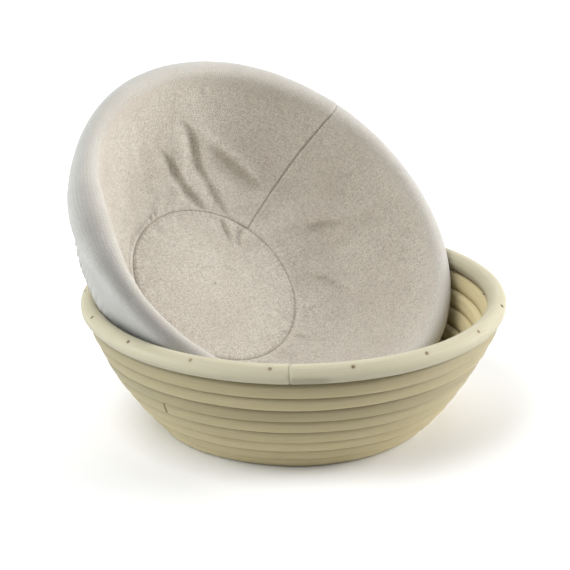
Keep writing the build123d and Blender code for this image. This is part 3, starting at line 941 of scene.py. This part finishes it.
def stitches(name, node, line, normals, length, gap, thread):
    """Row of short thread stitches along a line, each dipping into the cloth at its ends."""
    step = np.linalg.norm(np.diff(line, axis=0), axis=1)
    along = np.concatenate([[0], np.cumsum(step)])
    count = int(along[-1] // (length + gap))
    pitch = along[-1] / count
    around, rings = 6, 7
    all_points, all_faces, all_uv = [], [], []
    for index in range(count):
        share = np.linspace(0, 1, rings)
        at = index * pitch + gap / 2 + share * (pitch - gap)
        middle = np.stack([np.interp(at, along, line[:, axis]) for axis in range(3)], -1)
        up = np.stack([np.interp(at, along, normals[:, axis]) for axis in range(3)], -1)
        up /= np.linalg.norm(up, axis=1)[:, None]
        run = np.gradient(middle, axis=0)
        run /= np.linalg.norm(run, axis=1)[:, None]
        side = np.cross(run, up)
        middle = middle + up * (0.22 * np.sin(share * math.pi) - 0.10)[:, None]
        radius = thread / 2 * (0.55 + 0.45 * np.sin(share * math.pi))
        spin = np.arange(around) * TURN / around
        ring = side[:, None] * np.cos(spin)[None, :, None] + up[:, None] * np.sin(spin)[None, :, None]
        all_points.append((middle[:, None] + ring * radius[:, None, None]).reshape(-1, 3))
        all_faces.append(tube_faces(rings, around) + index * rings * around)
        grid = np.stack(np.broadcast_arrays(at[:, None], spin[None, :] * thread), -1)
        all_uv.append(grid.reshape(-1, 2))
    piece = make_mesh(
        name, np.concatenate(all_points) * MM, np.concatenate(all_faces), np.concatenate(all_uv), THREAD
    )
    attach(piece, "liner")
    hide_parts(node)


def place_seams(basket, wall):
    """Stitching of the base seam, the side seam and the hem."""
    points, along = wall.points(), wall.along
    closed = np.concatenate([points, points[:1]])
    normal = np.concatenate([wall.normal, wall.normal[:1]])
    half = CLOTH / 2 + 0.05

    def stitched(name, node, line, lean, length, gap, thread):
        world = basket.world(line + lean * half) / MM
        up = lean @ np.array([basket.x, basket.y, basket.z])
        stitches(name, node, world, up, length, gap, thread)

    stitched("liner_base_stitches", "liner_base_seam", closed[:, 0], normal[:, 0], 2.0, 0.8, 0.45)
    # side seam: where each ring of the cloth crosses the seam's azimuth
    last = int(np.searchsorted(along, along[-1] - CASING - 3))
    line, lean = [], []
    for column in range(1, last):
        want = side_seam_azimuth(wall.reach[:, column])
        off = (wall.azimuth[:, column] - want + math.pi) % TURN - math.pi
        index = int(np.argmin(np.abs(off)))
        line.append(points[index, column])
        lean.append(wall.normal[index, column])
    stitched("liner_side_stitches", "liner_side_seam", np.array(line), np.array(lean), 2.2, 0.8, 0.4)
    # hem: through both layers just below the casing's top
    top = int(np.searchsorted(along, along[-1] - 2 * CASING - 0.5))
    line, lean = closed[:, top], normal[:, top]
    stitched("liner_hem_stitches", "liner_hem_stitching", line, lean, 2.4, 1.0, 0.4)


def place_elastic(basket):
    """Flat elastic band inside the casing, slightly wavy where the cloth bunches."""
    rng = np.random.default_rng(23)
    steps = 720
    turn = np.arange(steps) * TURN / steps
    inner = ROW_THICKNESS / 2 + CLOTH + CLOTH_GAP
    middle = inner + 0.4 + ELASTIC_THICKNESS / 2
    wave = np.clip(ripple(turn, rng, 30, 60, 0.10), -0.2, 0.2)
    top = SKIRT_DEPTH - 1.6 - ELASTIC_WIDTH
    corners = []
    for depth, side in ((top, -1), (top, 1), (top + ELASTIC_WIDTH, 1), (top + ELASTIC_WIDTH, -1)):
        radius, level = hem_point(basket, middle, depth)
        r = radius + side * ELASTIC_THICKNESS / 2 + wave
        corners.append(np.stack([r * np.cos(turn), r * np.sin(turn), np.full(steps, level)], -1))
    points = np.stack(corners, 1)
    uv = np.stack(np.broadcast_arrays(turn[:, None] * 90, np.array([[0.0, 0.7, 6.7, 7.4]])), -1)
    faces = grid_faces(steps, 4, wrap_rows=True, wrap_columns=True)
    world = basket.world(points.reshape(-1, 3))
    piece = make_mesh("liner_elastic_band", world, faces, uv.reshape(-1, 2), ELASTIC)
    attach(piece, "liner")
    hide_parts("liner_elastic")


wall_linen = place_wall_linen(lined)
place_base_linen(lined)
place_seams(lined, wall_linen)
place_elastic(lined)


# -------------------- floor and light
AMBIENT = 0.12
FLOOR_HALF = 6.0           # metres
FOCUS = (0, 0, 0.06)       # the soft boxes point here, metres


def floor_material():
    n = Nodes("pale_floor")
    place = n.add("ShaderNodeTexCoord").outputs["Object"]
    mottle = n.noise(place, 3.0, 2.0)
    colour = n.mix(n.ramp(mottle, 0.3, 0.7), rgba(0.85, 0.85, 0.85), rgba(0.83, 0.83, 0.83))
    return n.finish(colour, 0.9, n.bump(mottle, 0.0001, 0.1), Specular_IOR_Level=0.1)


def place_floor():
    half = FLOOR_HALF
    mesh = bpy.data.meshes.new("floor")
    corners = [(-half, -half, 0), (half, -half, 0), (half, half, 0), (-half, half, 0)]
    mesh.from_pydata(corners, [], [(0, 1, 2, 3)])
    mesh.materials.append(floor_material())
    floor = bpy.data.objects.new("floor", mesh)
    bpy.context.scene.collection.objects.link(floor)


def soft_box(name, place, size, power, colour=(1, 1, 1)):
    """Rectangular studio light: place and size in metres, power in watts."""
    data = bpy.data.lights.new(name, "AREA")
    data.shape = "RECTANGLE"
    data.size, data.size_y = size
    data.energy = power
    data.color = colour
    lamp = bpy.data.objects.new(name, data)
    lamp.location = place
    lamp.rotation_euler = (Vector(place) - Vector(FOCUS)).to_track_quat("Z", "Y").to_euler()
    bpy.context.scene.collection.objects.link(lamp)


place_floor()
studio = bpy.data.worlds.new("studio")
studio.use_nodes = True
studio.node_tree.nodes["Background"].inputs["Color"].default_value = rgba(1.0, 1.0, 1.0)
studio.node_tree.nodes["Background"].inputs["Strength"].default_value = AMBIENT
bpy.context.scene.world = studio
soft_box("overhead_left", (-0.9, -0.9, 2.2), (1.4, 1.4), 42)
soft_box("back", (0.0, 1.8, 1.8), (3.0, 2.0), 46)
soft_box("right", (1.6, 0.2, 0.6), (1.2, 1.2), 42)
soft_box("left", (-1.6, -0.1, 0.5), (1.2, 1.0), 17, (0.93, 1.0, 1.05))
soft_box("front_left", (-1.3, -1.3, 1.1), (1.2, 1.2), 7)
